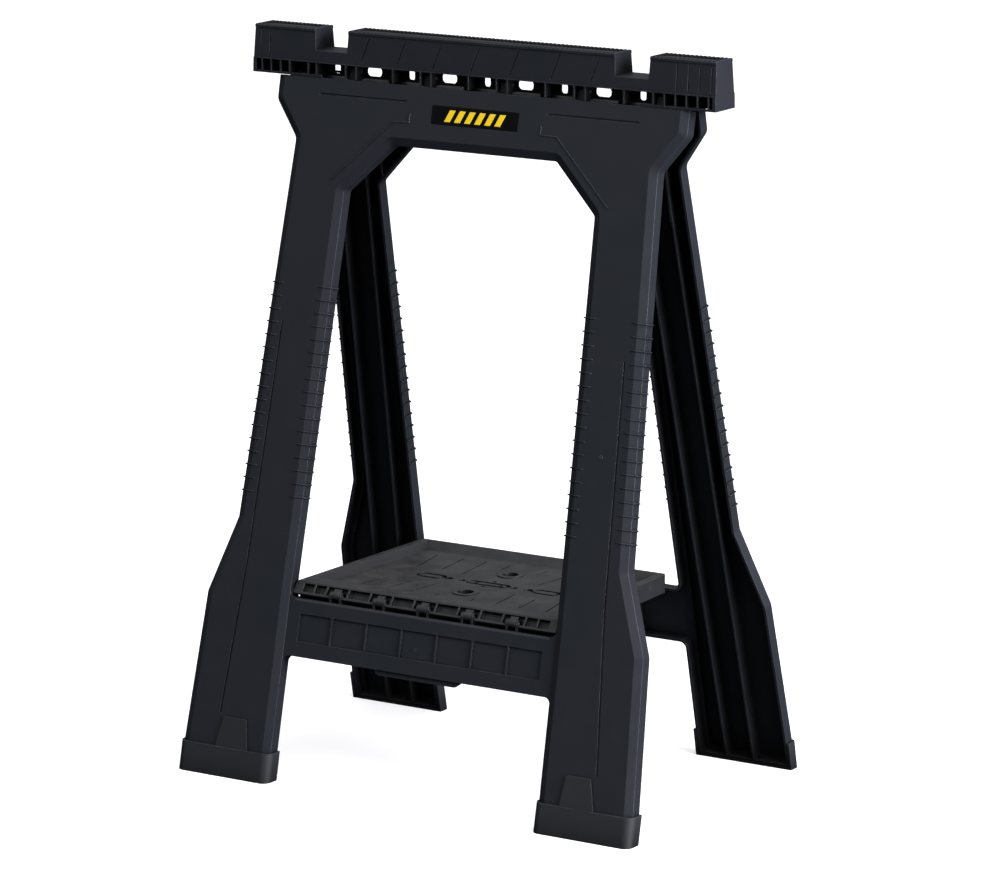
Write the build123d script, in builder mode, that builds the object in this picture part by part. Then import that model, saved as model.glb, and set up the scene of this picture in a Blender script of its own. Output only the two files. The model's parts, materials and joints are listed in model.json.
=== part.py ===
from build123d import *
import math
import os

# Folding sawhorse moulded in plastic, in millimetres.
# +X runs along the top beam, +Z is up, and the origin is on the floor under the middle of the beam.
# The two leg frames lean against each other under the beam. Each is drawn flat on its own leaning
# outer face: sketch x runs along the beam, sketch y up the slope, and the depth goes inwards.

# ---- leg frames
LEAN = 12.3                        # lean of each leg frame from the vertical, degrees
FOOT_SPREAD = 179.93               # from the centre plane to a frame's outer face at the floor
FRAME_DEPTH = 17.0                 # outer face to open back
WALL = 3.0                         # moulded wall, skin and rib thickness
BEVEL_WIDTH = 8.5                  # sloping band along the edges of the header and legs
BEVEL_DROP = 4.0                   # how far the band falls back from the outer face
CROSSBAR_SETBACK = 4.4             # the crossbar's face stands this far behind the legs' faces
CROSSBAR_ROUND = 3.5
CORNER_ROUND = 7.0
SHOULDER_ROUND = 12.0              # at the corners of the outer outline
SKIN_DEPTH = 8.0                   # behind the outer face, where the skin is thick along the edges
HEADER_TOP = 736.5
HEADER_BOTTOM = 674.0
CROSSBAR_TOP = 197.0
CROSSBAR_BOTTOM = 136.0
LEG_BOTTOM = 2.6                   # the leg stands on the floor of its foot cap

# ---- top beam
BEAM_LENGTH = 570.0
BEAM_TOP = 788.5                   # work surface
RIB_BOTTOM = 737.0                 # lower edge of the rib grid
DECK_BOTTOM = 751.8
DECK_TOP = 753.0
DECK_WIDTH = 40.0
BLOCK_BOTTOM_WIDTH = 38.0
BLOCK_TOP_WIDTH = 33.0
CAP_HEIGHT = 3.6                   # toothed cap along the top of each block
CAP_LEDGE = 0.7                    # how far the cap stands proud of the block
END_SLOPE = 1.6                    # the beam's ends narrow by this much towards the top
NOTCH_FLOOR = 765.0                # the notches hold timber on edge
NOTCH_INNER = 165.0
NOTCH_OUTER = 205.0
TOOTH_PITCH = 5.0
TOOTH_DEPTH = 0.9
WEB_THICKNESS = 2.4                # upright web along the middle of the beam
GRID_RIB = 1.8
RAIL_HEIGHT = 2.4                  # rail that joins the grid ribs along their lower front ends
RAIL_THICKNESS = 1.8
RAIL_START = 196.0                 # the rails run from here to the beam's ends
END_RIBS = (-273.5, -262.0, -249.7, -238.0, -214.0, -203.5)
BAY = 94.3                         # the rib grid repeats along the beam at this distance

# ---- frame hinges, under the beam
HINGE_OFFSET = 9.0                 # each hinge axis stands this far from the centre plane
HINGE_HEIGHT = 745.0
HINGE_INSET = 8.3                  # hinge axis behind the frame's outer face
FIRST_KNUCKLE = 29.0
KNUCKLE_WIDTH = 10.0
KNUCKLE_RADIUS = 4.6
POCKET_PITCH = 13.0                # between the two grid ribs that hold one pin
PIN_RADIUS = 2.0
PRESS_GAP = 0.03
RUNNING_GAP = 0.08

# ---- shelf
SHELF_AXIS_Y = -125.7
SHELF_AXIS_Z = 202.0
SHELF_TOP = 212.0
SHELF_BOTTOM = 192.0
SHELF_FLOOR = 203.5
SHELF_FRONT = -121.0               # front edge of the rim
SHELF_REAR = 112.0
SHELF_FRONT_HALF = 164.0
SHELF_REAR_HALF = 155.5            # narrower, to pass between the legs when folded
SHELF_HINGE_PITCH = 55.0
SHELF_KNUCKLE_WIDTH = 9.0
EAR_WIDTH = 2.6
EAR_GAP = 0.4
EAR_RADIUS = 4.6
LATCH_X = 120.0
LATCH_WIDTH = 10.0

# ---- foot caps and badge plates
CAP_WALL = 2.9
CAP_ROUND = 10.0
FOOT_HEIGHT = 31.0
FOOT_INNER = 165.0
FOOT_OUTER = 283.0
BADGE_LENGTH = 107.4
BADGE_HEIGHT = 19.6
BADGE_DEPTH = 1.5
BADGE_CENTRE = 709.0

SIN = math.sin(math.radians(LEAN))
COS = math.cos(math.radians(LEAN))
TAN = SIN / COS
FRONT = -1
REAR = 1

os.makedirs("parts", exist_ok=True)


def finish(builder, label):
    """Name a finished piece and write it to its own file."""
    builder.part.label = label
    export_step(builder.part, f"parts/{label}.step")


def leg_plane(side, depth=0.0):
    """The leaning outer face of a leg frame, or a plane this far behind it."""
    origin = Vector(0, side * FOOT_SPREAD, 0)
    plane = Plane(origin=origin, x_dir=(-side, 0, 0), z_dir=(0, side * COS, SIN))
    return plane.offset(-depth)


def up(height):
    """Distance up the slope of the outer face to a point at this height."""
    return height / COS


def slope_points(points):
    """Points given as (x, height) turned into sketch points on the leaning face."""
    return [(x, up(height)) for x, height in points]


def leg_point(side, slope, depth):
    """The (y, z) of a point this far up the slope and this far behind the outer face."""
    return side * (FOOT_SPREAD - slope * SIN - depth * COS), slope * COS - depth * SIN


def knuckle_places(side):
    """Where the five frame hinges stand along the beam. The rear row is the front one turned round."""
    return [-side * (FIRST_KNUCKLE + BAY * k) for k in range(-2, 3)]


def shelf_hinge_places():
    """Where the five shelf hinges stand along the crossbar."""
    return [SHELF_HINGE_PITCH * k for k in range(-2, 3)]


# ================================================================ top beam
def toothed_top(start, end):
    """Outline of one block's toothed top edge, from start to end."""
    count = int((end - start) // TOOTH_PITCH)
    margin = (end - start - count * TOOTH_PITCH + TOOTH_PITCH / 2) / 2
    root = BEAM_TOP - TOOTH_DEPTH
    points = [(start, BEAM_TOP)]
    for k in range(count):
        left = start + margin + k * TOOTH_PITCH
        right = left + TOOTH_PITCH / 2
        points += [(left, BEAM_TOP), (left, root), (right, root), (right, BEAM_TOP)]
    return points + [(end, BEAM_TOP)]


def grid_ribs():
    """Places of the ribs in the front row of the rib grid."""
    half_pocket = POCKET_PITCH / 2
    ribs = []
    for k in range(-2, 3):
        centre = FIRST_KNUCKLE + BAY * k
        ribs += [centre - half_pocket, centre + half_pocket]
    ribs += [82.0 + BAY * k for k in range(-2, 2)]
    ribs += [224.1 + POCKET_PITCH * k for k in range(1, 5)]
    return ribs + list(END_RIBS)


def block_face(side):
    """The drafted face of the beam's blocks on one side, with sketch y up from the deck."""
    rise = BEAM_TOP - CAP_HEIGHT - DECK_TOP
    draft = (BLOCK_BOTTOM_WIDTH - BLOCK_TOP_WIDTH) / 2
    origin = (0, side * BLOCK_BOTTOM_WIDTH / 2, DECK_TOP)
    return Plane(origin=origin, x_dir=(-side, 0, 0), z_dir=(0, side * rise, draft))


def block_grooves():
    """Lines moulded in the face of the blocks: slanted on the centre one, upright at the ends."""
    lean, low, high = 10.0, 3.0, 29.0
    slanted = [(x - lean, x) for x in (-137.5, -92.0, -47.0, 0.0, 48.0, 98.0, 145.5)]
    upright = [(x, x) for x in (-275.0, -264.0, 238.0, 251.6, 265.2, 278.8)]
    return [((bottom, low), (top, high)) for bottom, top in slanted + upright]


with BuildPart() as top_beam:
    # cross-section: rib grid and deck, drafted block, cap with a small ledge
    with BuildSketch(Plane.YZ):
        with BuildLine():
            Polyline(
                (0, RIB_BOTTOM),
                (DECK_WIDTH / 2, RIB_BOTTOM),
                (DECK_WIDTH / 2, DECK_TOP),
                (BLOCK_BOTTOM_WIDTH / 2, DECK_TOP),
                (BLOCK_TOP_WIDTH / 2, BEAM_TOP - CAP_HEIGHT),
                (BLOCK_TOP_WIDTH / 2 + CAP_LEDGE, BEAM_TOP - CAP_HEIGHT),
                (BLOCK_TOP_WIDTH / 2 + CAP_LEDGE, BEAM_TOP - 1.0),
                (BLOCK_TOP_WIDTH / 2 - 0.5, BEAM_TOP),
                (0, BEAM_TOP),
            )
            mirror(about=Plane.YZ)
        make_face()
    extrude(amount=BEAM_LENGTH / 2, both=True)

    # side view: sloped ends, two timber notches and the teeth
    half_length = BEAM_LENGTH / 2
    inner_lip = NOTCH_INNER - 1
    outer_lip = NOTCH_OUTER + 1
    with BuildSketch(Plane.XZ):
        with BuildLine():
            Polyline(
                (-half_length, RIB_BOTTOM),
                *toothed_top(-half_length + END_SLOPE, -outer_lip),
                (-NOTCH_OUTER, NOTCH_FLOOR),
                (-NOTCH_INNER, NOTCH_FLOOR),
                *toothed_top(-inner_lip, inner_lip),
                (NOTCH_INNER, NOTCH_FLOOR),
                (NOTCH_OUTER, NOTCH_FLOOR),
                *toothed_top(outer_lip, half_length - END_SLOPE),
                (half_length, RIB_BOTTOM),
                close=True,
            )
        make_face()
    extrude(amount=DECK_WIDTH, both=True, mode=Mode.INTERSECT)

    # open grid under the deck, on both sides of the middle web
    grid_height = DECK_BOTTOM - RIB_BOTTOM
    end_wall = 4.0
    grid_width = DECK_WIDTH / 2 - WEB_THICKNESS / 2 + 1
    grid_centre = WEB_THICKNESS / 2 + grid_width / 2
    with BuildSketch(Plane.XY.offset(RIB_BOTTOM)):
        with GridLocations(0, 2 * grid_centre, 1, 2):
            Rectangle(BEAM_LENGTH - 2 * end_wall, grid_width)
    extrude(amount=grid_height, mode=Mode.SUBTRACT)
    rib_reach = DECK_WIDTH / 2
    with BuildSketch(Plane.XY.offset(RIB_BOTTOM)):
        for side in (FRONT, REAR):
            with Locations([(-side * x, side * rib_reach / 2) for x in grid_ribs()]):
                Rectangle(GRID_RIB, rib_reach)
    extrude(amount=grid_height)
    rail_end = BEAM_LENGTH / 2 - end_wall / 2
    with BuildSketch(Plane.XY.offset(RIB_BOTTOM)):
        with GridLocations(RAIL_START + rail_end, DECK_WIDTH - RAIL_THICKNESS, 2, 2):
            Rectangle(rail_end - RAIL_START, RAIL_THICKNESS)
    extrude(amount=RAIL_HEIGHT)

    # openings through the web: small upright ones and wide ones with a rounded bottom
    window_height = 11.0
    window_bottom = 739.4
    with BuildSketch(Plane.XZ.offset(-WEB_THICKNESS)):
        with Locations([(BAY * k, window_bottom + window_height / 2) for k in range(-2, 3)]):
            RectangleRounded(8.0, window_height, 3.2)
        wide_places = [(BAY * (k + 0.5), window_bottom + window_height / 2) for k in range(-2, 2)]
        with Locations(wide_places):
            RectangleRounded(19.0, window_height, 4.8)
    extrude(amount=2 * WEB_THICKNESS, mode=Mode.SUBTRACT)

    # the blocks are hollow from below, with a cross wall every few centimetres
    roof = 4.0
    cell_width = 9.6
    cell_offset = 2 * 7.6
    with BuildSketch(Plane.XY.offset(DECK_BOTTOM)):
        with GridLocations(40.6, cell_offset, 8, 2):
            Rectangle(37.6, cell_width)
        for end in (-1, 1):
            with Locations((end * 244.6, 0)):
                with GridLocations(36.6, cell_offset, 2, 2):
                    Rectangle(33.6, cell_width)
    extrude(amount=BEAM_TOP - roof - TOOTH_DEPTH - DECK_BOTTOM, mode=Mode.SUBTRACT)

    # shallow channel between the two toothed lands of each block
    with BuildSketch(Plane.XY.offset(BEAM_TOP)):
        Rectangle(2 * inner_lip - 10, 17)
        with Locations((-244.6, 0), (244.6, 0)):
            Rectangle(66, 17)
    extrude(amount=-1.8, mode=Mode.SUBTRACT)

    # moulded lines in both faces of the blocks
    for side in (FRONT, REAR):
        with BuildSketch(block_face(side)):
            for start, end in block_grooves():
                with BuildLine():
                    groove_line = Line(start, end)
                trace(groove_line, line_width=1.1)
        extrude(amount=-0.7, mode=Mode.SUBTRACT)

    # holes for the hinge pins
    for side in (FRONT, REAR):
        for x in knuckle_places(side):
            with BuildSketch(Plane.YZ.offset(x - POCKET_PITCH / 2 - GRID_RIB)):
                with Locations((side * HINGE_OFFSET, HINGE_HEIGHT)):
                    Circle(PIN_RADIUS + PRESS_GAP)
            extrude(amount=POCKET_PITCH + 2 * GRID_RIB, mode=Mode.SUBTRACT)

finish(top_beam, "top_beam")


# ================================================================ leg frames
FRAME_OUTLINE = slope_points([
    (0, HEADER_TOP),
    (252.5, HEADER_TOP),
    (252.5, 711.0),
    (223.3, 672.7),
    (242.1, 272.2),
    (271.2, 190.4),
    (280.0, 33.6),
    (280.0, -6.0),
    (168.4, -6.0),
    (166.6, CROSSBAR_BOTTOM),
    (0, CROSSBAR_BOTTOM),
])
WINDOW_OUTLINE = slope_points([
    (0, HEADER_BOTTOM),
    (101.6, HEADER_BOTTOM),
    (154.8, 622.8),
    (166.0, CROSSBAR_TOP),
    (0, CROSSBAR_TOP),
])
LEG_RIBS = [
    [(237.0, 4.0), (204.0, 664.0)],
    [(203.5, 4.0), (171.0, 640.0)],
]
HEADER_RIBS = [45.0, 90.0, 150.0, 205.0]
PANEL_EDGES = [22.0, 66.0, 110.0, 152.0]
FACE_GROOVES = [
    [(212.0, 481.0), (222.0, 230.0), (235.0, 66.0)],
    [(86.5, 720.0), (197.0, 720.0)],
]
FACE_BEAD = [(81.0, 708.0), (81.0, 698.5), (101.0, 698.0), (171.0, 632.0)]


def both_sides_lines(point_lists):
    """Each sloping line on the right half of a frame, and its twin on the left half."""
    lines = []
    for points in point_lists:
        for sign in (-1, 1):
            lines.append([(sign * x, y) for x, y in slope_points(points)])
    return lines


def trace_lines(lines, width, mode=Mode.ADD):
    """Add lines of the given width to the sketch being drawn."""
    for points in lines:
        with BuildLine(mode=Mode.PRIVATE) as path:
            Polyline(*points)
        trace(path.line, line_width=width, mode=mode)


def frame_profile(half_outline, window=None):
    """A frame's outline in its own plane, from its right half, with the outer and inner corners rounded."""
    with BuildSketch() as profile:
        with BuildLine():
            Polyline(*half_outline)
            mirror(about=Plane.YZ)
        make_face()
        if window:
            with BuildLine():
                Polyline(*window)
                mirror(about=Plane.YZ)
            make_face(mode=Mode.SUBTRACT)
        lowest = up(100) if window else up(600)
        inner = [v for v in profile.vertices() if 1 < abs(v.X) < 200 and lowest < v.Y < up(730)]
        fillet(inner, CORNER_ROUND)
        outer = [v for v in profile.vertices() if abs(v.X) > 200 and up(100) < v.Y < up(730)]
        fillet(outer, SHOULDER_ROUND)
    return profile.sketch


FRAME_PROFILE = frame_profile(FRAME_OUTLINE, WINDOW_OUTLINE)
ARCH_PROFILE = frame_profile(FRAME_OUTLINE[:-1] + WINDOW_OUTLINE[-2::-1])


def front_layer(side):
    """The outermost layer of the header and legs, with a sloping band all along its edges."""
    with BuildPart() as layer:
        with BuildSketch(leg_plane(side)):
            add(ARCH_PROFILE)
        extrude(amount=-CROSSBAR_SETBACK)
        flat_face = layer.faces().sort_by(Axis(origin=(0, 0, 0), direction=leg_plane(side).z_dir))[-1]
        bevelled = []
        for edge in flat_face.edges():
            heights = sorted(v.Z for v in edge.vertices())
            if heights[1] > 0 and heights[0] < HEADER_TOP - 1:
                bevelled.append(edge)
        chamfer(bevelled, BEVEL_WIDTH, BEVEL_DROP, reference=flat_face)
    return layer.part


def leg_frame(side):
    """One leg frame: header, two channel legs and a crossbar in a single moulding."""
    with BuildPart() as frame:
        with BuildSketch(leg_plane(side, CROSSBAR_SETBACK)):
            add(FRAME_PROFILE)
        extrude(amount=CROSSBAR_SETBACK - FRAME_DEPTH)
        add(front_layer(side))

        # round the crossbar's upper front edge between the legs
        top_slope = up(CROSSBAR_TOP)
        round_start = leg_point(side, top_slope - CROSSBAR_ROUND, CROSSBAR_SETBACK)
        round_end = leg_point(side, top_slope, CROSSBAR_SETBACK + CROSSBAR_ROUND)
        with BuildSketch(Plane.YZ):
            with BuildLine():
                RadiusArc(round_start, round_end, -side * CROSSBAR_ROUND)
                Polyline(
                    round_end,
                    leg_point(side, top_slope + 1, CROSSBAR_SETBACK + CROSSBAR_ROUND),
                    leg_point(side, top_slope + 1, CROSSBAR_SETBACK - 1),
                    leg_point(side, top_slope - CROSSBAR_ROUND, CROSSBAR_SETBACK - 1),
                    round_start,
                )
            make_face()
        extrude(amount=158, both=True, mode=Mode.SUBTRACT)

        # hollow from behind, leaving walls, long ribs in the legs and short ribs in the bars
        for profile, inset, near, far in (
            (FRAME_PROFILE, WALL, SKIN_DEPTH, FRAME_DEPTH),
            (ARCH_PROFILE, BEVEL_WIDTH + 1, WALL, SKIN_DEPTH),
        ):
            with BuildSketch(leg_plane(side, far)):
                add(profile)
                offset(amount=-inset, mode=Mode.REPLACE)
                trace_lines(both_sides_lines(LEG_RIBS), WALL - 0.6, Mode.SUBTRACT)
                header_ribs = [[(x, HEADER_BOTTOM - 60), (x, HEADER_TOP)] for x in HEADER_RIBS]
                panel_ribs = [[(x, CROSSBAR_BOTTOM), (x, CROSSBAR_TOP)] for x in PANEL_EDGES[:-1]]
                trace_lines(both_sides_lines(header_ribs + panel_ribs), WALL - 0.6, Mode.SUBTRACT)
                with Locations((0, up(0))):
                    Rectangle(2 * FOOT_OUTER, 2 * up(9), mode=Mode.SUBTRACT)
            extrude(amount=far - near, mode=Mode.SUBTRACT)

        # recess for the badge plate, shallow panels along the crossbar, fine lines in the face
        with BuildSketch(leg_plane(side)):
            with Locations((0, up(BADGE_CENTRE))):
                Rectangle(BADGE_LENGTH + 0.6, BADGE_HEIGHT + 0.6)
        extrude(amount=-BADGE_DEPTH, mode=Mode.SUBTRACT)
        panel_gap = 2.0
        panel_edges = [-x for x in reversed(PANEL_EDGES)] + PANEL_EDGES
        with BuildSketch(leg_plane(side, CROSSBAR_SETBACK)):
            for left, right in zip(panel_edges, panel_edges[1:]):
                with Locations(((left + right) / 2, up(166.5))):
                    Rectangle(right - left - panel_gap, up(29))
        extrude(amount=-1.8, mode=Mode.SUBTRACT)
        with BuildSketch(leg_plane(side)):
            trace_lines(both_sides_lines(FACE_GROOVES), 2.0)
        extrude(amount=-1.0, mode=Mode.SUBTRACT)
        with BuildSketch(leg_plane(side, 0.2)):
            trace_lines(both_sides_lines([FACE_BEAD]), 1.3)
        extrude(amount=0.8)

        # grip lip that hangs behind the crossbar's lower edge
        with BuildSketch(leg_plane(side, CROSSBAR_SETBACK + 3)):
            with BuildLine():
                Polyline(*slope_points([(0, 140), (57, 140), (54, 135), (47, 130.3), (0, 130.3)]))
                mirror(about=Plane.YZ)
            make_face()
        extrude(amount=-5)

        # hinge knuckles on the header
        hinge_slope = (FOOT_SPREAD - HINGE_OFFSET - HINGE_INSET * COS) / SIN
        knuckle_root = up(HEADER_TOP) - 2
        for x in knuckle_places(side):
            with BuildSketch(Plane.YZ.offset(x - KNUCKLE_WIDTH / 2)):
                with BuildLine():
                    Polyline(
                        leg_point(side, knuckle_root, HINGE_INSET - KNUCKLE_RADIUS),
                        leg_point(side, hinge_slope, HINGE_INSET - KNUCKLE_RADIUS),
                        leg_point(side, hinge_slope, HINGE_INSET + KNUCKLE_RADIUS),
                        leg_point(side, knuckle_root, HINGE_INSET + KNUCKLE_RADIUS),
                        close=True,
                    )
                make_face()
                with Locations((side * HINGE_OFFSET, HINGE_HEIGHT)):
                    Circle(KNUCKLE_RADIUS)
                    Circle(PIN_RADIUS + RUNNING_GAP, mode=Mode.SUBTRACT)
            extrude(amount=KNUCKLE_WIDTH)

        # what differs: the front crossbar carries the shelf, the rear one has its latch slots
        if side == FRONT:
            # cheeks that close the gap between the shelf's front corners and the legs
            cheek_width = 3.3
            cheek_place = SHELF_FRONT_HALF + 0.35 + cheek_width / 2
            with BuildSketch(Plane.XY.offset(CROSSBAR_TOP - 7)):
                with Locations((-cheek_place, SHELF_AXIS_Y), (cheek_place, SHELF_AXIS_Y)):
                    Rectangle(cheek_width, 10)
            extrude(amount=14)
            for x in shelf_hinge_places():
                for sign in (-1, 1):
                    ear_centre = x + sign * (SHELF_KNUCKLE_WIDTH / 2 + EAR_GAP + EAR_WIDTH / 2)
                    with BuildSketch(Plane.YZ.offset(ear_centre - EAR_WIDTH / 2)):
                        with Locations((SHELF_AXIS_Y, SHELF_AXIS_Z - 4.5)):
                            Rectangle(2 * EAR_RADIUS, 9)
                        with Locations((SHELF_AXIS_Y, SHELF_AXIS_Z)):
                            Circle(EAR_RADIUS)
                            Circle(PIN_RADIUS + PRESS_GAP, mode=Mode.SUBTRACT)
                    extrude(amount=EAR_WIDTH)
        else:
            with BuildSketch(Plane.XY.offset(CROSSBAR_TOP + 1)):
                with Locations((-LATCH_X, 126.0), (LATCH_X, 126.0)):
                    Rectangle(LATCH_WIDTH + 3, 5)
            extrude(amount=-10, mode=Mode.SUBTRACT)

        split(bisect_by=Plane.XY.offset(LEG_BOTTOM), keep=Keep.TOP)
    return frame


finish(leg_frame(FRONT), "front_leg_frame")
finish(leg_frame(REAR), "rear_leg_frame")


# ================================================================ foot caps
def foot_cap(side, end):
    """A cap over the end of one leg: floor, three walls, open back and a tongue up the front."""
    lean_up = (0, -side * SIN, COS)
    centre = end * (FOOT_INNER + FOOT_OUTER) / 2
    width = FOOT_OUTER - FOOT_INNER
    outer_y = FOOT_SPREAD + CAP_WALL / COS
    inner_y = FOOT_SPREAD - (FRAME_DEPTH + 0.2) / COS
    with BuildPart() as cap:
        with BuildSketch(Plane.XY) as plan:
            with Locations((centre, side * (outer_y + inner_y) / 2)):
                Rectangle(width, outer_y - inner_y)
            outer_corners = plan.vertices().sort_by(Axis.Y)
            fillet(outer_corners[:2] if side == FRONT else outer_corners[-2:], CAP_ROUND)
        extrude(amount=up(FOOT_HEIGHT), dir=lean_up)
        # room for the leg, above a thin floor
        floor_shift = side * LEG_BOTTOM * TAN
        leg_gap = 0.05
        with BuildSketch(Plane.XY.offset(LEG_BOTTOM - 0.1)) as room:
            room_y = FOOT_SPREAD + leg_gap
            with Locations((centre, side * (room_y + inner_y - 5) / 2 - floor_shift)):
                Rectangle(width - 2 * CAP_WALL + 0.5, room_y - inner_y + 5)
            room_corners = room.vertices().sort_by(Axis.Y)
            fillet(room_corners[:2] if side == FRONT else room_corners[-2:], CAP_ROUND / 2)
        extrude(amount=up(2 * FOOT_HEIGHT), dir=lean_up, mode=Mode.SUBTRACT)
        # tongue
        with BuildSketch(leg_plane(side, -leg_gap)) as tongue:
            with BuildLine():
                mirrored = -side * end
                Polyline(
                    *[(mirrored * x, y) for x, y in slope_points([
                        (195, 22), (195, 31), (200, 63), (229, 63), (236, 31), (236, 22),
                    ])],
                    close=True,
                )
            make_face()
            fillet(tongue.vertices().sort_by(Axis.Y)[-2:], 3)
        extrude(amount=1.6)
    return cap


for side, side_name in ((FRONT, "front"), (REAR, "rear")):
    for end, end_name in ((-1, "left"), (1, "right")):
        finish(foot_cap(side, end), f"foot_{side_name}_{end_name}")


# ================================================================ badge plates
for side, side_name in ((FRONT, "front"), (REAR, "rear")):
    with BuildPart() as badge:
        with BuildSketch(leg_plane(side, BADGE_DEPTH)):
            with Locations((0, up(BADGE_CENTRE))):
                RectangleRounded(BADGE_LENGTH, BADGE_HEIGHT, 1.0)
        extrude(amount=BADGE_DEPTH + 0.3)
        top_edges = badge.faces().sort_by(Axis(origin=(0, 0, 0), direction=leg_plane(side).z_dir))[-1].edges()
        chamfer(top_edges, 0.25)
    finish(badge, f"{side_name}_badge_plate")


# ================================================================ frame hinge pins
for side, side_name in ((FRONT, "front"), (REAR, "rear")):
    pin_length = POCKET_PITCH + GRID_RIB
    for number, x in enumerate(sorted(knuckle_places(side)), start=1):
        with BuildPart() as pin:
            with BuildSketch(Plane.YZ.offset(x - pin_length / 2)):
                with Locations((side * HINGE_OFFSET, HINGE_HEIGHT)):
                    Circle(PIN_RADIUS)
            extrude(amount=pin_length)
            chamfer(pin.edges().filter_by(GeomType.CIRCLE), 0.3)
        finish(pin, f"{side_name}_hinge_pin_{number}")


# ================================================================ shelf
SKIRT_FOOT = (-129.8, 200.4)       # lower front edge of the sloped skirt, in (y, z)
SKIRT_HEAD = (SHELF_FRONT, SHELF_TOP)
UNDERCUT_Y = -117.5                # the shelf hangs down behind the crossbar from here
UNDERCUT_Z = 198.2                 # and clears the crossbar's top by staying above this
RIM = 9.0
SHELF_LENGTH = SHELF_REAR - SKIRT_FOOT[0]


def shelf_half_width(y):
    """Half the shelf's width, which narrows from the hinge to the rear edge."""
    share = (y - SKIRT_FOOT[0]) / SHELF_LENGTH
    return SHELF_FRONT_HALF + (SHELF_REAR_HALF - SHELF_FRONT_HALF) * share


def shelf_plan(near, far, inset):
    """Outline of the shelf in plan between two y values, pulled in at the sides."""
    near_half = shelf_half_width(near) - inset
    far_half = shelf_half_width(far) - inset
    return [(-near_half, near), (near_half, near), (far_half, far), (-far_half, far)]


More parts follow.
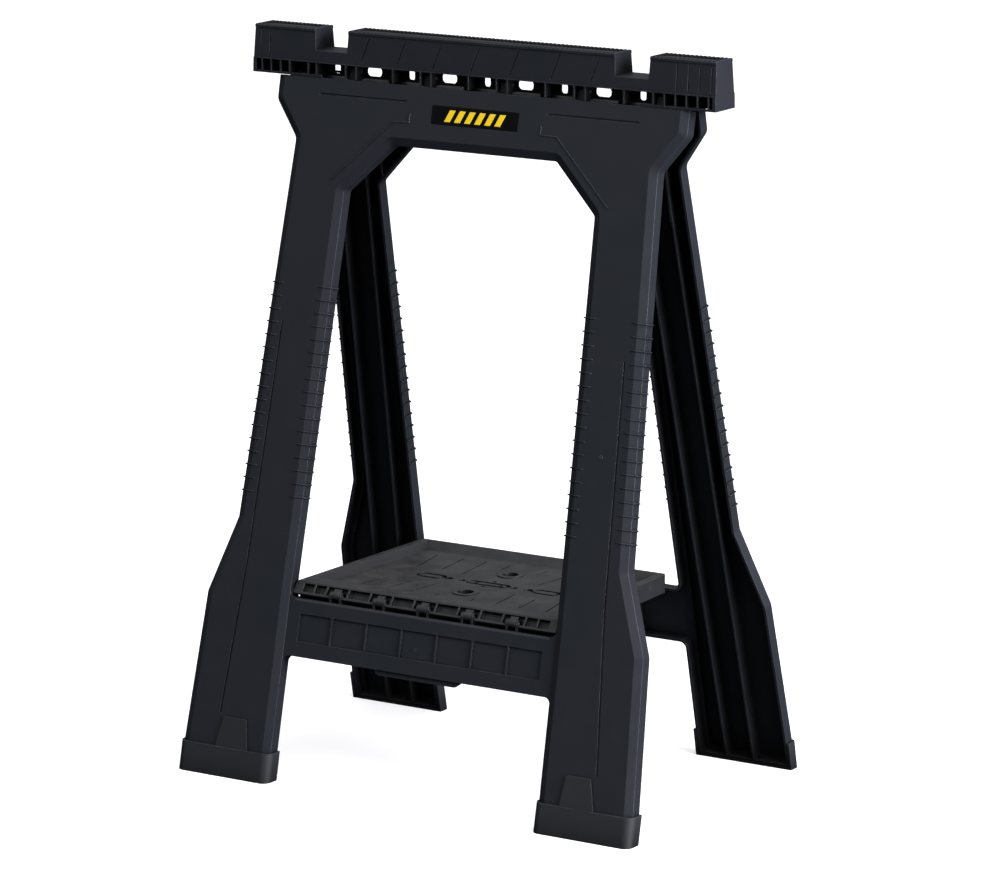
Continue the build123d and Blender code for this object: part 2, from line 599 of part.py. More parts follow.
with BuildPart() as shelf_tray:
    with BuildSketch(Plane.YZ):
        with BuildLine():
            Polyline(
                SKIRT_FOOT,
                SKIRT_HEAD,
                (SHELF_REAR, SHELF_TOP),
                (SHELF_REAR, SHELF_BOTTOM),
                (UNDERCUT_Y, SHELF_BOTTOM),
                (UNDERCUT_Y, UNDERCUT_Z),
                (-128.4, UNDERCUT_Z),
                close=True,
            )
        make_face()
    extrude(amount=SHELF_FRONT_HALF + 1, both=True)
    with BuildSketch(Plane.XY.offset(SHELF_BOTTOM - 5)) as shelf_outline:
        with BuildLine():
            Polyline(*shelf_plan(SKIRT_FOOT[0] - 1, SHELF_REAR, 0.0), close=True)
        make_face()
        fillet(shelf_outline.vertices().sort_by(Axis.Y)[-2:], 5)
    extrude(amount=40, mode=Mode.INTERSECT)
    rim_edges = shelf_tray.faces().filter_by(Axis.Z).sort_by(Axis.Z)[-1].edges()
    fillet(rim_edges, 1.2)

    # tray recess with sloped walls
    wall_run = 5.5
    with BuildSketch(Plane.XY.offset(SHELF_TOP)):
        with BuildLine():
            Polyline(*shelf_plan(-100, SHELF_REAR - 4, RIM), close=True)
        make_face()
    with BuildSketch(Plane.XY.offset(SHELF_FLOOR)):
        with BuildLine():
            Polyline(*shelf_plan(-100 + wall_run, SHELF_REAR - 4 - 2 * wall_run, RIM + wall_run), close=True)
        make_face()
    loft(mode=Mode.SUBTRACT)

    # two round holes in raised rings, and the tool rests in the row between them
    hole_places = [(0, -45), (0, 45)]
    with BuildSketch(Plane.XY.offset(SHELF_FLOOR - 0.2)):
        with Locations(hole_places):
            Circle(14)
    extrude(amount=1.4)
    with BuildSketch(Plane.XY.offset(SHELF_TOP)):
        with Locations(hole_places):
            Circle(9)
        with Locations((-32.5, 0), (32.5, 0)):
            Circle(4)
        with Locations((-15, 0), (15, 0), (0, -12), (0, 12)):
            Circle(3)
    extrude(amount=-(SHELF_TOP - SHELF_BOTTOM), mode=Mode.SUBTRACT)
    with BuildSketch(Plane.XY.offset(SHELF_FLOOR)):
        with Locations((-72, 0), (72, 0)):
            SlotOverall(36, 18)
            SlotOverall(27, 9, mode=Mode.SUBTRACT)
        with Locations((-50, 0), (50, 0)):
            Circle(5)
        RectangleRounded(54, 15, 7)
        RectangleRounded(45, 6, 2.9, mode=Mode.SUBTRACT)
        for sign in (-1, 1):
            lines = [[(84, 84), (78, 30)], [(55, 84), (48, 24)], [(118, 84), (108, 30)], [(24, 84), (22, 62)]]
            for (far_x, far_y), (near_x, near_y) in lines:
                for mirrored in (-1, 1):
                    with BuildLine(mode=Mode.PRIVATE) as ray:
                        Line((mirrored * far_x, sign * far_y), (mirrored * near_x, sign * near_y))
                    trace(ray.line, line_width=1.4)
    extrude(amount=-2.0, mode=Mode.SUBTRACT)

    # hollow below, with cross ribs
    under_skin = 4.0
    with BuildSketch(Plane.XY.offset(SHELF_BOTTOM)):
        with BuildLine():
            Polyline(*shelf_plan(UNDERCUT_Y + WALL, SHELF_REAR - WALL, WALL), close=True)
        make_face()
        rib_length = SHELF_LENGTH + 20
        with Locations([(x, 0) for x in (-110, -55, -18, 18, 55, 110)]):
            Rectangle(2.2, rib_length, mode=Mode.SUBTRACT)
        with Locations((0, -62), (0, -25), (0, 25), (0, 62)):
            Rectangle(2 * SHELF_FRONT_HALF, 2.2, mode=Mode.SUBTRACT)
        with Locations(hole_places):
            Circle(14, mode=Mode.SUBTRACT)
    extrude(amount=SHELF_FLOOR - under_skin - SHELF_BOTTOM, mode=Mode.SUBTRACT)
    with BuildSketch(Plane.XY.offset(SHELF_BOTTOM)):
        with Locations(hole_places):
            Circle(9)
    extrude(amount=SHELF_TOP - SHELF_BOTTOM, mode=Mode.SUBTRACT)

    # pockets in the skirt, between upright ribs
    skirt_rise = SKIRT_HEAD[1] - SKIRT_FOOT[1]
    skirt_run = SKIRT_HEAD[0] - SKIRT_FOOT[0]
    skirt_middle = (0, (SKIRT_FOOT[0] + SKIRT_HEAD[0]) / 2, (SKIRT_FOOT[1] + SKIRT_HEAD[1]) / 2)
    skirt = Plane(origin=skirt_middle, x_dir=(1, 0, 0), z_dir=(0, -skirt_rise, skirt_run))
    with BuildSketch(skirt):
        with GridLocations(SHELF_HINGE_PITCH / 2, 0, 9, 1):
            Rectangle(25.3, 10)
        with Locations((-131.4, 0), (131.4, 0), (-146.6, 0), (146.6, 0)):
            Rectangle(13.2, 10)
    extrude(amount=-5.0, mode=Mode.SUBTRACT)

    # room for the ears on the crossbar, then the knuckles that turn between them
    ear_room = SHELF_KNUCKLE_WIDTH / 2 + 2 * EAR_GAP + EAR_WIDTH
    for x in shelf_hinge_places():
        with BuildSketch(Plane.YZ.offset(x - ear_room)):
            with Locations((SHELF_AXIS_Y, SHELF_AXIS_Z)):
                Circle(EAR_RADIUS + 1)
            with Locations((SHELF_AXIS_Y, SHELF_AXIS_Z - 5)):
                Rectangle(2 * EAR_RADIUS + 8, 10)
        extrude(amount=2 * ear_room, mode=Mode.SUBTRACT)
        with BuildSketch(Plane.YZ.offset(x - SHELF_KNUCKLE_WIDTH / 2)):
            with BuildLine():
                Polyline(
                    (SHELF_AXIS_Y, SHELF_AXIS_Z - EAR_RADIUS),
                    (SHELF_AXIS_Y + 9, UNDERCUT_Z + 0.5),
                    (SHELF_AXIS_Y + 12, SHELF_FLOOR),
                    (SHELF_AXIS_Y + 3, SHELF_AXIS_Z + 7),
                    (SHELF_AXIS_Y, SHELF_AXIS_Z + EAR_RADIUS),
                    close=True,
                )
            make_face()
            with Locations((SHELF_AXIS_Y, SHELF_AXIS_Z)):
                Circle(EAR_RADIUS)
                Circle(PIN_RADIUS + RUNNING_GAP, mode=Mode.SUBTRACT)
        extrude(amount=SHELF_KNUCKLE_WIDTH)

finish(shelf_tray, "shelf_tray")

shelf_pin_length = SHELF_KNUCKLE_WIDTH + 2 * EAR_GAP + 2 * EAR_WIDTH
for number, x in enumerate(shelf_hinge_places(), start=1):
    with BuildPart() as shelf_pin:
        with BuildSketch(Plane.YZ.offset(x - shelf_pin_length / 2)):
            with Locations((SHELF_AXIS_Y, SHELF_AXIS_Z)):
                Circle(PIN_RADIUS)
        extrude(amount=shelf_pin_length)
        chamfer(shelf_pin.edges().filter_by(GeomType.CIRCLE), 0.3)
    finish(shelf_pin, f"shelf_hinge_pin_{number}")

# latches: a plate on the shelf's rear wall, with a prong that drops into the rear crossbar's slot
for end, end_name in ((-1, "left"), (1, "right")):
    with BuildPart() as latch:
        with BuildSketch(Plane.YZ.offset(end * LATCH_X - LATCH_WIDTH / 2)) as hook:
            with BuildLine():
                Polyline(
                    (SHELF_REAR, 193.5),
                    (SHELF_REAR + 2.5, 193.5),
                    (SHELF_REAR + 2.5, 198.4),
                    (124.5, 198.4),
                    (124.5, 188.5),
                    (127.5, 188.5),
                    (127.5, 203.0),
                    (SHELF_REAR + 2.5, 204.5),
                    (SHELF_REAR + 2.5, 209.0),
                    (SHELF_REAR, 209.0),
                    close=True,
                )
            make_face()
        extrude(amount=LATCH_WIDTH)
    finish(latch, f"shelf_latch_{end_name}")
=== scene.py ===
"""Folding sawhorse in charcoal moulded plastic, dressed for a studio shot.

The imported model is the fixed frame. This script finishes every moulding, adds the grip ribs on the
legs, the bars on the badge plates and the moulding marks, and lights the whole on a pale floor.
All lengths are metres, in the frame's own axes.
"""
import json
import logging
import math
from dataclasses import dataclass, field
from enum import Enum
from typing import Iterable, Union

import bmesh
import bpy
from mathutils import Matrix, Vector


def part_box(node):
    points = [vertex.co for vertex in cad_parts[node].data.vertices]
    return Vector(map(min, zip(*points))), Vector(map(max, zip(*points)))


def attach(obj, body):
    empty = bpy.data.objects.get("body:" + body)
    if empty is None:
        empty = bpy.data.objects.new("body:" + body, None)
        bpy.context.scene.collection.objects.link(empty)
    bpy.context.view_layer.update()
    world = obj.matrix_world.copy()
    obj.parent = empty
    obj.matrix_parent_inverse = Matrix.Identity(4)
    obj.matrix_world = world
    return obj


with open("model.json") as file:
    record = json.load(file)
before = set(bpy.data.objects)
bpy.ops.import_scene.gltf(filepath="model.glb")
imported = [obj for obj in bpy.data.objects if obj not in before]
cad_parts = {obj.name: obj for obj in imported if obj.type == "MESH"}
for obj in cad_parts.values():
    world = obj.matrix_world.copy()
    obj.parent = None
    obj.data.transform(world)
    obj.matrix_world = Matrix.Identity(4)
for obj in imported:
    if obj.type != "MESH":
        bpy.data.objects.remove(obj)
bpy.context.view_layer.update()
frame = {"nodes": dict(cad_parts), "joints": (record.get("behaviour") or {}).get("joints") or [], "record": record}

MM = 0.001
BEVEL_SAMPLES = 4
# samples of the painted shade in recesses
PAINTED_SHADE_SAMPLES = 6
SENSOR_WIDTH_MM = 36.0

log = logging.getLogger("sawhorse")
logging.basicConfig(level=logging.INFO, format="%(name)s: %(message)s")

Scalar = Union["Field", float, int]


class Side(Enum):
    """Which leg frame a piece belongs to; the value is the sign of its Y."""

    FRONT = -1
    REAR = 1

    @property
    def body(self) -> str:
        """Name of the body that the frame on this side moves with."""
        return f"{self.name.lower()}_frame"


class Edge(Enum):
    """The two long edges of a leg; the value is the direction the edge faces along X."""

    INNER = -1
    OUTER = 1


# ------------------------------------------------------------------------------ shader building
@dataclass(frozen=True)
class Field:
    """A shader value that takes part in Python expressions.

    Args:
        graph: The node graph that the value lives in.
        socket: The output socket that carries it.
    """

    graph: "Graph"
    socket: bpy.types.NodeSocket

    def _math(self, operation: str, left: Scalar, right: Scalar) -> "Field":
        """Join two values with one Math node.

        Args:
            operation: The Math node's operation.
            left: First operand.
            right: Second operand.

        Returns:
            The node's result.
        """
        return self.graph.out("ShaderNodeMath", {"operation": operation}, {0: left, 1: right})

    def __add__(self, other: Scalar) -> "Field":
        """Sum."""
        return self._math("ADD", self, other)

    def __radd__(self, other: Scalar) -> "Field":
        """Sum with the plain number on the left."""
        return self._math("ADD", other, self)

    def __sub__(self, other: Scalar) -> "Field":
        """Difference."""
        return self._math("SUBTRACT", self, other)

    def __rsub__(self, other: Scalar) -> "Field":
        """Difference with the plain number on the left."""
        return self._math("SUBTRACT", other, self)

    def __mul__(self, other: Scalar) -> "Field":
        """Product."""
        return self._math("MULTIPLY", self, other)

    def clamped(self) -> "Field":
        """The value held between 0 and 1."""
        settings = {"operation": "ADD", "use_clamp": True}
        return self.graph.out("ShaderNodeMath", settings, {0: self, 1: 0.0})


@dataclass
class Graph:
    """One material's node tree.

    Args:
        name: Name of the material.
    """

    name: str
    material: bpy.types.Material = field(init=False)

    def __post_init__(self) -> None:
        """Make the empty material."""
        self.material = bpy.data.materials.new(self.name)
        self.material.use_nodes = True
        self.material.node_tree.nodes.clear()

    def node(
        self, kind: str, settings: dict | None = None, sockets: dict | None = None,
    ) -> bpy.types.Node:
        """Add a node.

        Args:
            kind: Blender's name for the node type.
            settings: Properties, set before the sockets.
            sockets: Values, fields or sockets for the inputs, by name or number.

        Returns:
            The new node.
        """
        tree = self.material.node_tree
        node = tree.nodes.new(kind)
        for name, value in (settings or {}).items():
            setattr(node, name, value)
        for key, value in (sockets or {}).items():
            if isinstance(value, Field):
                value = value.socket
            if isinstance(value, bpy.types.NodeSocket):
                tree.links.new(value, node.inputs[key])
            else:
                node.inputs[key].default_value = value
        return node

    def out(
        self, kind: str, settings: dict | None = None, sockets: dict | None = None,
        output: str | int = 0,
    ) -> Field:
        """Add a node and wrap one of its outputs.

        Args:
            kind: Blender's name for the node type.
            settings: Properties, set first.
            sockets: Values or links for the inputs.
            output: Which output to wrap.

        Returns:
            The wrapped output.
        """
        return Field(self, self.node(kind, settings, sockets).outputs[output])

    def place(self) -> Field:
        """Position on the piece, in metres, fixed to the piece as it moves."""
        return self.out("ShaderNodeTexCoord", output="Object")

    def noise(
        self, place: Field, scale: float, detail: float = 2.0, roughness: float = 0.5,
    ) -> Field:
        """Fractal noise.

        Args:
            place: Where it is sampled.
            scale: Waves per metre.
            detail: Number of finer layers.
            roughness: Strength of the finer layers.

        Returns:
            The noise value, about 0 to 1.
        """
        sockets = {"Vector": place, "Scale": scale, "Detail": detail, "Roughness": roughness}
        return self.out("ShaderNodeTexNoise", sockets=sockets)

    def stretched(self, place: Field, x: float, y: float, z: float) -> Field:
        """The position scaled differently along each axis.

        Args:
            place: The position.
            x: Scale along X.
            y: Scale along Y.
            z: Scale along Z.

        Returns:
            The scaled position.
        """
        return self.out("ShaderNodeVectorMath", {"operation": "MULTIPLY"}, {0: place, 1: (x, y, z)})

    def ramp(self, value: Field, low: float, high: float) -> Field:
        """A smooth step.

        Args:
            value: What is stepped.
            low: Where the result leaves 0.
            high: Where it reaches 1.

        Returns:
            The stepped value.
        """
        settings = {"interpolation_type": "SMOOTHSTEP"}
        sockets = {"Value": value, "From Min": low, "From Max": high}
        return self.out("ShaderNodeMapRange", settings, sockets)

    def mix(self, share: Scalar, first: object, second: object) -> Field:
        """Mix two colours.

        Args:
            share: How much of the second colour.
            first: Colour or field.
            second: Colour or field.

        Returns:
            The mixed colour.
        """
        settings = {"data_type": "RGBA", "clamp_factor": True}
        return self.out("ShaderNodeMix", settings, {0: share, 6: first, 7: second}, output=2)

    def face_normal(self) -> Field:
        """The surface's own normal."""
        return self.out("ShaderNodeNewGeometry", output="Normal")

    def rounded_normal(self, radius: float) -> Field:
        """The normal as if the sharp edges had this radius, in metres."""
        return self.out("ShaderNodeBevel", {"samples": BEVEL_SAMPLES}, {"Radius": radius})

    def edge_closeness(self, radius: float) -> Field:
        """How close a point is to a sharp edge.

        Args:
            radius: Width of the edge band, in metres.

        Returns:
            0 on open faces, rising towards edges.
        """
        normals = {0: self.rounded_normal(radius), 1: self.face_normal()}
        settings = {"operation": "DOT_PRODUCT"}
        facing = self.out("ShaderNodeVectorMath", settings, normals, "Value")
        return self.ramp(1.0 - facing, 0.01, 0.22)

    def bump(
        self, height: Field, depth: float, strength: float, normal: Field | None = None,
    ) -> Field:
        """A normal tilted by a relief.

        Args:
            height: The relief, about 0 to 1.
            depth: Depth of the relief, in metres.
            strength: How much of the tilt is used.
            normal: The normal that is tilted; the surface's own where it isn't given.

        Returns:
            The tilted normal.
        """
        sockets = {"Strength": strength, "Distance": depth, "Height": height}
        if normal is not None:
            sockets["Normal"] = normal
        return self.out("ShaderNodeBump", sockets=sockets)

    def finish(self, sockets: dict) -> bpy.types.Material:
        """Close the material with a Principled shader.

        Args:
            sockets: Inputs of the shader.

        Returns:
            The finished material.
        """
        shader = self.node("ShaderNodeBsdfPrincipled", sockets=sockets)
        self.node("ShaderNodeOutputMaterial", sockets={"Surface": shader.outputs[0]})
        return self.material


def fill_ramp(ramp: bpy.types.ColorRamp, stops: Iterable[tuple[float, tuple]]) -> None:
    """Set a ramp's stops.

    Args:
        ramp: The ramp.
        stops: Position and colour of each stop.
    """
    stops = list(stops)
    while len(ramp.elements) < len(stops):
        ramp.elements.new(0.5)
    for element, (position, colour) in zip(ramp.elements, stops):
        element.position = position
        element.color = colour


def shade(red: float, green: float, blue: float) -> tuple[float, float, float, float]:
    """A linear colour with full alpha."""
    return (red, green, blue, 1.0)


# ------------------------------------------------------------------------------ finishes
@dataclass(frozen=True)
class MouldedPlastic:
    """Black injection-moulded plastic with a spark-eroded grain, with painted shade in its recesses, a painted
    highlight along its edges and painted top light on upward faces.

    Args:
        name: Name of the material.
        base: Colour of the clean moulding.
        drift: Second colour that the moulding drifts to over a hand's width.
        roughness: Mean roughness.
        scuffs: Strength of the scratches, 0 to 1.
        dust_and_top_light: Strength of the pale dusting on faces that look up, which also serves as painted top
            light, 0 to 1.
        grain_depth: Depth of the moulded grain, in metres.
        edge_radius: Radius that the moulding's sharp edges seem to have, in metres.
        edge_band_width: Width of the worn band along an edge, which is also lightened as a painted highlight, in
            metres.
        painted_shade_reach: How near a facing wall has to be for painted shade to darken a recess, in metres.
        recess: Colour of the painted shade in the deepest recesses.
        worn_and_highlit_edge: Colour of a worn edge, lightened further as a painted highlight.
        scratched: Colour of a scratch.
        dust_and_top_light_colour: Colour of the dusting, which also serves as painted top light.
        specular: Strength of the plain reflection.
        drift_scale: Waves of the colour drift per metre.
        blotch_scale: Waves of the handling blotches per metre.
        grain_scale: Waves of the fine grain per metre.
        coarse_scale: Waves of the coarse grain per metre.
        along_scale: Scale of the scratches that run along X, on each axis.
        across_scale: Scale of the scratches that run along Z, on each axis.
    """

    name: str
    base: tuple
    drift: tuple
    roughness: float = 0.46
    scuffs: float = 0.5
    dust_and_top_light: float = 0.3
    grain_depth: float = 0.00006
    edge_radius: float = 0.0007
    edge_band_width: float = 0.0012
    painted_shade_reach: float = 0.04
    recess: tuple = shade(0.001, 0.001, 0.001)
    worn_and_highlit_edge: tuple = shade(0.085, 0.090, 0.102)
    scratched: tuple = shade(0.10, 0.10, 0.105)
    dust_and_top_light_colour: tuple = shade(0.12, 0.118, 0.112)
    specular: float = 0.34
    drift_scale: float = 7.0
    blotch_scale: float = 38.0
    grain_scale: float = 1500.0
    coarse_scale: float = 420.0
    along_scale: tuple[float, float, float] = (22.0, 60.0, 900.0)
    across_scale: tuple[float, float, float] = (800.0, 60.0, 30.0)

    def material(self) -> bpy.types.Material:
        """Build the material.

        Returns:
            The material.
        """
        graph = Graph(self.name)
        place = graph.place()
        drift = graph.noise(place, self.drift_scale)
        blotches = graph.noise(place, self.blotch_scale, 4.0, 0.6)
        grain = graph.noise(place, self.grain_scale, 2.0, 0.7)
        coarse = graph.noise(place, self.coarse_scale)

        # hairline scratches run along X and along Z, broken up by the blotches
        along = graph.noise(graph.stretched(place, *self.along_scale), 1.0, 3.0, 0.6)
        across = graph.noise(graph.stretched(place, *self.across_scale), 1.0, 3.0, 0.6)
        broken = graph.ramp(blotches, 0.5, 0.68)
        hairlines = graph.ramp(along, 0.66, 0.74) + graph.ramp(across, 0.67, 0.75)
        scratch = hairlines.clamped() * broken

        # worn edges, lightened further as a painted highlight along every sharp edge of the moulding
        edge_mask = graph.edge_closeness(self.edge_band_width) * graph.ramp(blotches, 0.3, 0.62)
        # faces that look up are lightened: partly a dusting, partly painted top light
        upward = graph.out("ShaderNodeSeparateXYZ", sockets={0: graph.face_normal()}, output=2)
        dust_and_top_light = graph.ramp(upward, 0.55, 1.0) * graph.ramp(blotches, 0.25, 0.75) * self.dust_and_top_light

        colour = graph.mix(graph.ramp(drift, 0.35, 0.65), self.base, self.drift)
        colour = graph.mix(edge_mask * 0.5, colour, self.worn_and_highlit_edge)
        colour = graph.mix(scratch * (0.30 * self.scuffs), colour, self.scratched)
        colour = graph.mix(dust_and_top_light * 0.35, colour, self.dust_and_top_light_colour)
        # painted shade: recesses and crevices darkened in the base colour, the more the walls around them close in
        settings = {"samples": PAINTED_SHADE_SAMPLES}
        painted_recess_shade = graph.out(
            "ShaderNodeAmbientOcclusion", settings, {"Distance": self.painted_shade_reach}, "AO",
        )
        colour = graph.mix(graph.ramp(painted_recess_shade, 0.45, 0.95), self.recess, colour)

        roughness = self.roughness + (blotches - 0.5) * 0.22 + (grain - 0.5) * 0.08
        roughness = (roughness + dust_and_top_light * 0.2 + scratch * 0.12 - edge_mask * 0.10).clamped()

        relief = grain * 0.75 + coarse * 0.25 - scratch * (0.5 * self.scuffs)
        rounded = graph.rounded_normal(self.edge_radius)
        return graph.finish({
            "Base Color": colour,
            "Roughness": roughness,
            "Normal": graph.bump(relief, self.grain_depth, 1.0, rounded),
            "Specular IOR Level": self.specular,
        })


@dataclass(frozen=True)
class SatinPlate:
    """Smooth black badge plate with fine brushed lines.

    Args:
        name: Name of the material.
        line_depth: Depth of the brushed lines, in metres.
        specular: Strength of the plain reflection.
    """

    name: str = "satin_badge_plate"
    line_depth: float = 0.00002
    specular: float = 0.12

    def material(self) -> bpy.types.Material:
        """Build the material.

        Returns:
            The material.
        """
        graph = Graph(self.name)
        place = graph.place()
        lines = graph.noise(graph.stretched(place, 60.0, 3000.0, 3000.0), 1.0, 2.0)
        smears = graph.noise(place, 60.0, 3.0, 0.6)
        edge_mask = graph.edge_closeness(0.0006)
        colour = graph.mix(edge_mask * 0.4, shade(0.0012, 0.0012, 0.0015), shade(0.05, 0.05, 0.052))
        colour = graph.mix(graph.ramp(smears, 0.5, 0.8) * 0.15, colour, shade(0.008, 0.008, 0.0085))
        return graph.finish({
            "Base Color": colour,
            "Roughness": 0.40 + smears * 0.2,
            "Normal": graph.bump(lines, self.line_depth, 0.5),
            "Specular IOR Level": self.specular,
        })


@dataclass(frozen=True)
class PrintedYellow:
    """Thick yellow print on the badge, chipped a little along its edges.

    Args:
        name: Name of the material.
        print_relief: Depth of the print's mottle, in metres.
    """

    name: str = "printed_yellow_bars"
    print_relief: float = 0.00003

    def material(self) -> bpy.types.Material:
        """Build the material.

        Returns:
            The material.
        """
        graph = Graph(self.name)
        place = graph.place()
        mottled = graph.noise(place, 500.0, 3.0, 0.6)
        chips = graph.ramp(graph.noise(place, 900.0, 3.0, 0.7), 0.66, 0.72)
        edge_mask = (graph.edge_closeness(0.0003) * chips).clamped()
        colour = graph.mix(mottled, shade(0.92, 0.62, 0.008), shade(0.98, 0.70, 0.012))
        colour = graph.mix(edge_mask, colour, shade(0.03, 0.028, 0.02))
        return graph.finish({
            "Base Color": colour,
            "Roughness": 0.34 + mottled * 0.18,
            "Normal": graph.bump(mottled, self.print_relief, 0.6),
        })


@dataclass(frozen=True)
class PinSteel:
    """Blackened drawn steel of the hinge pins, with grease in the drawing lines.

    Args:
        name: Name of the material.
        line_depth: Depth of the drawing lines, in metres.
    """

    name: str = "drawn_pin_steel"
    line_depth: float = 0.00002

    def material(self) -> bpy.types.Material:
        """Build the material.

        Returns:
            The material.
        """
        graph = Graph(self.name)
        place = graph.place()
        drawn = graph.noise(graph.stretched(place, 90.0, 4000.0, 4000.0), 1.0, 2.0)
        grease = graph.ramp(graph.noise(place, 300.0, 3.0, 0.6), 0.5, 0.7)
        colour = graph.mix(grease * 0.7, shade(0.10, 0.10, 0.105), shade(0.03, 0.026, 0.022))
        return graph.finish({
            "Base Color": colour,
            "Metallic": 1.0 - grease * 0.5,
            "Roughness": 0.42 + grease * 0.2,
            "Normal": graph.bump(drawn, self.line_depth, 0.6),
        })


@dataclass(frozen=True)
class PaleFloor:
    """Pale matt studio floor.

    Args:
        name: Name of the material.
        glow: Strength of its own light, which keeps the floor near white.
    """

    name: str = "pale_floor"
    glow: float = 0.4

    def material(self) -> bpy.types.Material:
        """Build the material.

        Returns:
            The material.
        """
        graph = Graph(self.name)
        place = graph.place()
        mottled = graph.noise(place, 3.0, 3.0)
        colour = graph.mix(mottled * 0.3, shade(0.93, 0.93, 0.93), shade(0.90, 0.90, 0.905))
        return graph.finish({
            "Base Color": colour,
            "Roughness": 0.85,
            "Specular IOR Level": 0.1,
            "Emission Color": shade(1.0, 1.0, 1.0),
            "Emission Strength": self.glow,
        })


# ------------------------------------------------------------------------------ geometry helpers
def mesh_piece(
    name: str, mesh: bmesh.types.BMesh, material: bpy.types.Material,
) -> bpy.types.Object:
    """Turn a bmesh into a scene object.

    Args:
        name: Name of the piece.
        mesh: The geometry, which is freed.
        material: Its finish.

    Returns:
        The object.
    """
    bmesh.ops.recalc_face_normals(mesh, faces=mesh.faces)
    data = bpy.data.meshes.new(name)
    mesh.to_mesh(data)
    mesh.free()
    data.materials.append(material)
    piece = bpy.data.objects.new(name, data)
    bpy.context.scene.collection.objects.link(piece)
    return piece


def add_prism(mesh: bmesh.types.BMesh, rings: list[list[Vector]]) -> None:
    """Skin a closed prism through rings of equal length.

    Args:
        mesh: The mesh that it is added to.
        rings: Cross-sections in order; the first and last are capped.
    """
    loops = [[mesh.verts.new(point) for point in ring] for ring in rings]
    count = len(loops[0])
    for near, far in zip(loops, loops[1:]):
        for k in range(count):
            after = (k + 1) % count
            mesh.faces.new((near[k], near[after], far[after], far[k]))
    mesh.faces.new(loops[0])
    mesh.faces.new(loops[-1])


def report(piece: bpy.types.Object, body: str) -> None:
    """Attach a finished piece to its body, and log it.

    Args:
        piece: The object.
        body: The CAD body that it moves with.
    """
    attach(piece, body)
    log.info("%s: %d faces on %s", piece.name, len(piece.data.polygons), body)


@dataclass(frozen=True)
class LeaningFace:
    """The outer face of one leg frame, worked out from its hinge.

    A frame folds upright about its hinge, so the fold's range is the lean of its outer face.

    Args:
        side: Which frame.
        hinge_inset: The hinge axis stands this far behind the face.
    """

    side: Side
    hinge_inset: float = 8.3 * MM

    def joint(self) -> dict:
        """The fold joint that carries this frame."""
        return next(j for j in frame["joints"] if j["child"] == self.side.body)

    def lean(self) -> float:
        """Lean of the face from the vertical, in radians."""
        return math.radians(max(abs(limit) for limit in self.joint()["range_deg"]))

    def foot_spread(self) -> float:
        """Distance from the centre plane to the face at the floor."""
        _, hinge_y, hinge_z = self.joint()["pos_m"]
        lean = self.lean()
        return abs(hinge_y) + hinge_z * math.tan(lean) + self.hinge_inset / math.cos(lean)

    def point(self, x: float, height: float, proud: float) -> Vector:
        """A point over the face.

        Args:
            x: Place along the beam.
            height: Height above the floor of the foot of the perpendicular.
            proud: Distance out from the face.

        Returns:
            The point in the frame's axes.
        """
        lean = self.lean()
        run = self.foot_spread() - height * math.tan(lean) + proud * math.cos(lean)
        return Vector((x, self.side.value * run, height + proud * math.sin(lean)))


